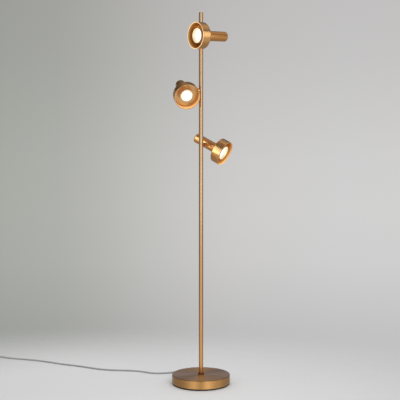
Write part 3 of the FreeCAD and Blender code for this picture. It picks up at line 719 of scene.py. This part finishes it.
def lead_mesh(points, radius):
    """Round mesh along the line with the low relief of a braid."""
    pts = even(points, RISE)
    verts, faces, uvs, lc = [], [], [], []
    t = (pts[1] - pts[0]).normalized()
    nrm = Vector((0, 0, 1))
    nrm = (nrm - t * nrm.dot(t)).normalized()
    run = 0.0
    for i, p in enumerate(pts):
        if i < len(pts) - 1 and i > 0:
            t2 = (pts[i + 1] - pts[i - 1]).normalized()
        elif i == 0:
            t2 = (pts[1] - pts[0]).normalized()
        else:
            t2 = (pts[-1] - pts[-2]).normalized()
        nrm = (nrm - t2 * nrm.dot(t2)).normalized()
        bi = t2.cross(nrm)
        if i:
            run += (p - pts[i - 1]).length
        for j in range(WRAP):
            a = 2 * math.pi * j / WRAP
            ph, pv = a * 8, run / MM * 2 * math.pi / 3.2
            rel = math.sin(ph + pv) * math.sin(ph - pv)
            r = radius - 0.11 * MM + 0.10 * MM * rel
            verts.append(p + (nrm * math.cos(a) + bi * math.sin(a)) * r)
    rings = len(pts)
    for i in range(rings - 1):
        for j in range(WRAP):
            k = (j + 1) % WRAP
            faces.append((i * WRAP + j, i * WRAP + k, (i + 1) * WRAP + k, (i + 1) * WRAP + j))
            u0, u1 = j / WRAP, (j + 1) / WRAP
            v0, v1 = i * RISE / MM, (i + 1) * RISE / MM
            uvs += [(u0, v0), (u1, v0), (u1, v1), (u0, v1)]
    for base, flip in ((0, True), ((rings - 1) * WRAP, False)):
        ring = [base + j for j in range(WRAP)]
        faces.append(tuple(reversed(ring)) if flip else tuple(ring))
        uvs += [(0.5, 0.0)] * WRAP
    me = bpy.data.meshes.new("mains_lead")
    me.from_pydata(verts, [], faces)
    me.polygons.foreach_set("use_smooth", [True] * len(me.polygons))
    uv = me.uv_layers.new(name="UVMap")
    flat = [c for q in uvs for c in q]
    uv.data.foreach_set("uv", flat)
    me.update()
    return new_object("mains_lead", me)


lead = lead_mesh(lead_pts, CORD_D / 2 * MM)
finish_piece(lead, M_BRAID, "stand", ["cord", "cord_coil"])

# strain relief where the lead leaves the base: flange, then a tapering ribbed sleeve
EXIT_AZ, EXIT_Z = 118.0, 14.9
ea = math.radians(EXIT_AZ)
gx = Vector((math.cos(ea), math.sin(ea), 0))
gy = Vector((0, 0, 1))
gl = Matrix(((gx.cross(gy).x * -1, gy.x, gx.x, 0), (gx.cross(gy).y * -1, gy.y, gx.y, 0), (0, 1, 0, EXIT_Z), (0, 0, 0, 1)))
if gl.to_3x3().determinant() < 0:
    for i in range(3):
        gl[i][0] = -gl[i][0]
sleeve = [(3.25, 110), (6.5, 110), (6.5, 119.7), (5.0, 119.7), (5.0, 121.7), (6.6, 121.7, 0.3), (6.6, 124.5, 0.8)]
rib0, rib1, nrib = 126.2, 147.4, 7
for i in range(nrib):
    za = rib0 + (rib1 - rib0) * i / nrib
    zb = za + (rib1 - rib0) / nrib
    ra = 5.45 - 1.05 * (za - rib0) / (rib1 - rib0)
    rb = 5.45 - 1.05 * (zb - rib0) / (rib1 - rib0)
    sleeve += [(ra - 0.75, za), (ra - 0.75, za + 0.9), (ra, za + 1.1, 0.2), (rb, zb, 0.2)]
sleeve += [(3.85, 147.4), (4.25, 148.0), (4.25, 149.5, 0.4), (3.25, 149.5)]
o = lathe("cord_sleeve", sleeve, 64, gl, arc_step=20.0)
finish_piece(o, M_RUBBER, "stand", "cord_gland")

# ------------------------------------------------------------------ carried-over nodes get their materials
CAD_STYLE = {
    "grey_iron": moulded("cast_iron", (0.10, 0.10, 0.105), (0.19, 0.19, 0.20), rough=(0.55, 0.8), grain=900.0, depth=0.7, cad=True, metallic=0.7, dist=0.0005),
    "zinc_steel": brushed("zinc_steel", (0.55, 0.56, 0.57), (0.74, 0.74, 0.75), rough=(0.3, 0.42), aniso=0.0, cad=True, lines=500.0),
    "nylon": moulded("nylon", (0.68, 0.66, 0.60), (0.78, 0.76, 0.70), rough=(0.4, 0.55), cad=True),
    "white_ceramic": moulded("white_ceramic", (0.74, 0.73, 0.70), (0.84, 0.83, 0.80), rough=(0.18, 0.3), grain=1200.0, depth=0.1, cad=True),
    "wire_sleeve": moulded("wire_sleeve", (0.20, 0.20, 0.20), (0.30, 0.30, 0.29), rough=(0.5, 0.65), grain=2200.0, cad=True),
    "black_plastic": moulded("black_plastic_parts", (0.012, 0.012, 0.013), (0.024, 0.024, 0.025), rough=(0.36, 0.5), grain=3200.0, cad=True),
    "black_rubber": moulded("black_rubber_parts", (0.010, 0.010, 0.010), (0.022, 0.022, 0.022), rough=(0.55, 0.7), grain=1800.0, cad=True),
    "pin_metal": brushed("pin_nickel", (0.62, 0.60, 0.55), (0.80, 0.78, 0.73), rough=(0.2, 0.3), aniso=0.0, cad=True, lines=700.0),
    "brushed_brass": brushed("brass_parts", BR_LO, BR_HI, rough=(0.3, 0.4), aniso=0.0, cad=True),
    "pole_brass": brushed("brass_pole_parts", BR_LO, BR_HI, rough=(0.3, 0.4), aniso=0.0, cad=True),
    "bulb_white": moulded("bulb_white_parts", (0.70, 0.69, 0.66), (0.82, 0.81, 0.78), cad=True),
    "bulb_lens": moulded("bulb_lens_parts", (0.70, 0.69, 0.66), (0.82, 0.81, 0.78), cad=True),
    "grey_braid": moulded("grey_braid_parts", (0.15, 0.15, 0.15), (0.3, 0.3, 0.3), rough=(0.8, 0.9), cad=True),
    "black_felt": moulded("black_felt_parts", (0.01, 0.01, 0.01), (0.03, 0.03, 0.03), rough=(0.9, 1.0), cad=True),
}
slot_of = {row["node"]: row.get("material_slot") for row in frame["record"].get("subparts", [])}
for n, ob in NODES.items():
    if ob.hide_render:
        continue
    s = slot_of.get(n)
    if s is None and ob.material_slots:
        s = ob.material_slots[0].name.split(".")[0]
    style = CAD_STYLE.get(s) or CAD_STYLE["zinc_steel"]
    if not ob.material_slots:
        ob.data.materials.append(style)
    for ms in ob.material_slots:
        ms.material = style

[tuple(p) for p in even(lead_pts, 2.0 * MM)]


# ------------------------------------------------------------------ floor, light and surroundings
def stage_floor():
    me = bpy.data.meshes.new("floor")
    bm = bmesh.new()
    bmesh.ops.create_circle(bm, cap_ends=True, segments=128, radius=3.6)
    bm.to_mesh(me)
    bm.free()
    ob = new_object("floor", me)
    ob.location = (0, 0.0, 0)
    m, nt, b = material("pale_floor")
    at = node(nt, "ShaderNodeTexCoord").outputs["Object"]
    n1 = noise(nt, at, 1.3, 3.0, 0.5)
    n2 = noise(nt, at, 420.0, 2.0, 0.5)
    tone = math_node(nt, "ADD", math_node(nt, "MULTIPLY", n1, 0.8), math_node(nt, "MULTIPLY", n2, 0.2))
    link(nt, ramp(nt, tone, [(0.3, (0.735, 0.735, 0.738)), (0.7, (0.765, 0.765, 0.765))]), b.inputs["Base Color"])
    b.inputs["Roughness"].default_value = 0.7
    b.inputs["Specular IOR Level"].default_value = 0.2
    sep = node(nt, "ShaderNodeSeparateXYZ")
    link(nt, at, sep.inputs[0])
    # the floor melts into the surroundings, over an oval that takes in the lead
    dx = math_node(nt, "DIVIDE", math_node(nt, "ADD", sep.outputs[0], 0.45), 1.35)
    dy = math_node(nt, "ADD", sep.outputs[1], 0.10)
    r = math_node(nt, "SQRT", math_node(nt, "ADD", math_node(nt, "MULTIPLY", dx, dx), math_node(nt, "MULTIPLY", dy, dy)))
    fade = node(nt, "ShaderNodeMapRange", interpolation_type="SMOOTHSTEP")
    for k, v in (("From Min", 0.30), ("From Max", 1.40), ("To Min", 1.0), ("To Max", 0.0)):
        fade.inputs[k].default_value = v
    link(nt, r, fade.inputs["Value"])
    seen_by_metal = node(nt, "ShaderNodeLightPath").outputs["Is Glossy Ray"]
    link(nt, math_node(nt, "MULTIPLY", fade.outputs["Result"], math_node(nt, "SUBTRACT", 1.0, seen_by_metal)), b.inputs["Alpha"])
    me.materials.append(m)
    return ob


stage_floor()

world = bpy.data.worlds.new("studio")
sc.world = world
world.use_nodes = True
wt = world.node_tree
wt.nodes.clear()
w_out = wt.nodes.new("ShaderNodeOutputWorld")
w_dir = wt.nodes.new("ShaderNodeTexCoord").outputs["Generated"]
w_sep = wt.nodes.new("ShaderNodeSeparateXYZ")
link(wt, w_dir, w_sep.inputs[0])
# what the camera sees behind the lamp: a grey sweep, darker to the left
seen = ramp(wt, mapped(wt, w_sep.outputs[2], 0.0, 1.0, -0.5, 0.5), [
    (0.0, (0.62, 0.62, 0.615)), (0.15, (0.585, 0.585, 0.583)), (0.25, (0.53, 0.53, 0.53)), (0.297, (0.515, 0.512, 0.512)), (0.314, (0.527, 0.523, 0.522)),
    (0.337, (0.552, 0.548, 0.545)), (0.384, (0.597, 0.592, 0.586)), (0.442, (0.613, 0.607, 0.598)), (0.50, (0.600, 0.594, 0.585)),
    (0.5575, (0.568, 0.562, 0.552)), (0.615, (0.535, 0.528, 0.520)), (0.667, (0.517, 0.509, 0.502)), (1.0, (0.42, 0.415, 0.41))])
side = ramp(wt, mapped(wt, w_sep.outputs[0], 0.0, 1.0, -0.25, 0.25), [
    (0.0, (0.635, 0.655, 0.615)), (0.176, (0.70, 0.72, 0.68)), (0.292, (0.785, 0.795, 0.765)), (0.384, (0.87, 0.875, 0.86)),
    (0.50, (0.955, 0.955, 0.952)), (0.592, (1.0, 1.0, 1.0)), (0.82, (1.045, 1.045, 1.06)), (1.0, (1.05, 1.05, 1.06))])
seen_mix = wt.nodes.new("ShaderNodeMix")
seen_mix.data_type = "RGBA"
seen_mix.blend_type = "MULTIPLY"
seen_mix.inputs["Factor"].default_value = 1.0
link(wt, seen, seen_mix.inputs["A"])
link(wt, side, seen_mix.inputs["B"])
bg_seen = wt.nodes.new("ShaderNodeBackground")
link(wt, seen_mix.outputs["Result"], bg_seen.inputs[0])
# what the metal reflects: a dark room, grey straight behind, the pale floor below the horizon
back = ramp(wt, mapped(wt, w_sep.outputs[1], 0.0, 1.0, -1.0, 1.0), [
    (0.0, 0.22), (0.12, 0.18), (0.35, 0.24), (0.60, 0.27), (0.92, 0.22), (0.965, (0.24, 0.25, 0.28)), (0.985, (0.33, 0.35, 0.41)), (1.0, (0.33, 0.35, 0.41))])
# darker above the shoulder of the lamp
above = wt.nodes.new("ShaderNodeMix")
above.data_type = "RGBA"
link(wt, mapped(wt, w_sep.outputs[2], 0.0, 1.0, 0.27, 0.36), above.inputs["Factor"])
flank = wt.nodes.new("ShaderNodeMix")
flank.data_type = "RGBA"
link(wt, mapped(wt, w_sep.outputs[0], 0.0, 1.0, 0.80, 0.95), flank.inputs["Factor"])
link(wt, back, flank.inputs["A"])
flank.inputs["B"].default_value = (0.54, 0.53, 0.50, 1.0)
link(wt, flank.outputs["Result"], above.inputs["A"])
above_z = ramp(wt, w_sep.outputs[2], [(0.0, 0.05), (0.42, 0.06), (0.58, 0.15), (0.80, 0.27), (1.0, 0.28)])
above_x = wt.nodes.new("ShaderNodeMix")
above_x.data_type = "RGBA"
above_x.blend_type = "MULTIPLY"
above_x.inputs["Factor"].default_value = 1.0
link(wt, above_z, above_x.inputs["A"])
link(wt, mapped(wt, w_sep.outputs[0], 0.7, 2.2, 0.05, 0.52), above_x.inputs["B"])
link(wt, above_x.outputs["Result"], above.inputs["B"])
back = above.outputs["Result"]
low_front = ramp(wt, mapped(wt, w_sep.outputs[0], 0.0, 1.0, -1.0, 1.0), [
    (0.0, 0.34), (0.09, 0.60), (0.25, 1.10), (0.40, 0.70), (0.50, 0.57), (0.58, 0.74), (0.72, 1.14), (0.85, 0.96), (0.93, 0.64), (1.0, 0.66)])
low_back = ramp(wt, mapped(wt, w_sep.outputs[1], 0.0, 1.0, 0.0, 1.0), [(0.0, 0.40), (0.5, 0.34), (0.97, 0.32), (1.0, 0.34)])
low_mix = wt.nodes.new("ShaderNodeMix")
low_mix.data_type = "RGBA"
link(wt, mapped(wt, w_sep.outputs[1], 0.0, 1.0, -0.12, 0.05), low_mix.inputs["Factor"])
link(wt, low_front, low_mix.inputs["A"])
link(wt, low_back, low_mix.inputs["B"])
low = low_mix.outputs["Result"]
# darker to the sides just below the horizon
dim = math_node(wt, "SUBTRACT", 1.0, math_node(wt, "MULTIPLY", math_node(wt, "MULTIPLY", mapped(wt, w_sep.outputs[1], 0.0, 1.0, -0.75, -0.50),
                                                                     mapped(wt, w_sep.outputs[2], 0.0, 1.0, -0.23, -0.17)), 0.50))
low_dim = wt.nodes.new("ShaderNodeMix")
low_dim.data_type = "RGBA"
low_dim.blend_type = "MULTIPLY"
low_dim.inputs["Factor"].default_value = 1.0
link(wt, low, low_dim.inputs["A"])
link(wt, dim, low_dim.inputs["B"])
low = low_dim.outputs["Result"]
# a narrow pale ceiling panel overhead, seen by the top of the base
panel = math_node(wt, "MULTIPLY", mapped(wt, math_node(wt, "ABSOLUTE", math_node(wt, "ADD", w_sep.outputs[0], 0.20)), 1.0, 0.0, 0.22, 0.34),
                  math_node(wt, "MULTIPLY", mapped(wt, w_sep.outputs[2], 0.0, 1.0, 0.85, 0.92), mapped(wt, w_sep.outputs[1], 0.0, 1.0, 0.0, 0.1)))
panel_mix = wt.nodes.new("ShaderNodeMix")
panel_mix.data_type = "RGBA"
link(wt, panel, panel_mix.inputs["Factor"])
link(wt, back, panel_mix.inputs["A"])
panel_mix.inputs["B"].default_value = (1.40, 1.50, 1.72, 1.0)
back = panel_mix.outputs["Result"]
refl = wt.nodes.new("ShaderNodeMix")
refl.data_type = "RGBA"
link(wt, mapped(wt, w_sep.outputs[2], 0.0, 1.0, -0.01, -0.08), refl.inputs["Factor"])
link(wt, back, refl.inputs["A"])
link(wt, low, refl.inputs["B"])
bg_refl = wt.nodes.new("ShaderNodeBackground")
link(wt, refl.outputs["Result"], bg_refl.inputs[0])
bg_fill = wt.nodes.new("ShaderNodeBackground")
bg_fill.inputs[0].default_value = (1.0, 1.0, 1.0, 1)
bg_fill.inputs[1].default_value = 0.60
lp = wt.nodes.new("ShaderNodeLightPath")
mx1 = wt.nodes.new("ShaderNodeMixShader")
mx2 = wt.nodes.new("ShaderNodeMixShader")
link(wt, lp.outputs["Is Glossy Ray"], mx1.inputs[0])
link(wt, bg_fill.outputs[0], mx1.inputs[1])
link(wt, bg_refl.outputs[0], mx1.inputs[2])
link(wt, lp.outputs["Is Camera Ray"], mx2.inputs[0])
link(wt, mx1.outputs[0], mx2.inputs[1])
link(wt, bg_seen.outputs[0], mx2.inputs[2])
link(wt, mx2.outputs[0], w_out.inputs[0])


def softbox(name, azimuth, dist, z, width, height, power, colour=(1, 1, 1), aim=0.8):
    """Large soft panel; azimuth 0 stands on the camera's side, positive to the right."""
    d = bpy.data.lights.new(name, "AREA")
    d.shape = "RECTANGLE"
    d.size, d.size_y = width, height
    d.energy = power
    d.color = colour
    o = bpy.data.objects.new(name, d)
    sc.collection.objects.link(o)
    a = math.radians(azimuth)
    o.location = (dist * math.sin(a), -dist * math.cos(a), z)
    v = Vector((0, 0, aim)) - o.location
    o.rotation_euler = v.to_track_quat("-Z", "Y").to_euler()
    return o


def for_metal(o):
    """Shows in reflections only; the floor has its own light."""
    o.visible_diffuse = False
    return o


COOL = (1.0, 1.10, 1.26)
for_metal(softbox("soft_left", -20, 3.0, 1.62, 1.20, 2.3, 8.5, COOL, aim=1.62))
for_metal(softbox("soft_right", 22, 3.0, 1.62, 1.20, 2.3, 12.5, COOL, aim=1.62))


cards = []


def near_panel(name, at, aim, width, height, power, colour=COOL):
    d = bpy.data.lights.new(name, "AREA")
    d.shape = "RECTANGLE"
    d.size, d.size_y = width, height
    d.energy = power
    d.color = colour
    o = bpy.data.objects.new(name, d)
    sc.collection.objects.link(o)
    o.location = at
    o.rotation_euler = (Vector(aim) - Vector(at)).to_track_quat("-Z", "Y").to_euler()
    o.visible_camera = False
    cards.append(o)
    return for_metal(o)


spots = bpy.data.collections.new("spots")
for ob_ in list(sc.collection.objects):
    if ob_.name.startswith(("spot_tube_", "spot_shade_", "spot_saddle_", "spot_arm_")):
        spots.objects.link(ob_)
sc.collection.children.link(spots)


near_panel("card_right", (0.475, -0.278, 1.50), (0.01, -0.125, 1.441), 0.09, 0.36, 0.19)
near_panel("card_left", (-0.32, -0.26, 1.10), (0.084, 0.042, 0.978), 0.26, 0.50, 1.0)


for ob_ in cards:
    ob_.light_linking.receiver_collection = spots


def overhead(name, x, y, z, size, power, aim=None):
    d = bpy.data.lights.new(name, "AREA")
    d.shape = "RECTANGLE"
    d.size, d.size_y = size
    d.energy = power
    o = bpy.data.objects.new(name, d)
    sc.collection.objects.link(o)
    o.location = (x, y, z)
    if aim is not None:
        o.rotation_euler = (Vector(aim) - o.location).to_track_quat("-Z", "Y").to_euler()
    o.visible_glossy = False
    return o


overhead("soft_top", 0.1, 0.3, 3.0, (2.0, 2.0), 22.0)
overhead("soft_front", 0.9, -1.9, 1.6, (1.2, 1.2), 16.0, (0.2, -0.4, 0.0))

sc.view_settings.view_transform = "Standard"
sc.view_settings.look = "None"
sc.view_settings.exposure = 0.0
sc.view_settings.gamma = 1.0
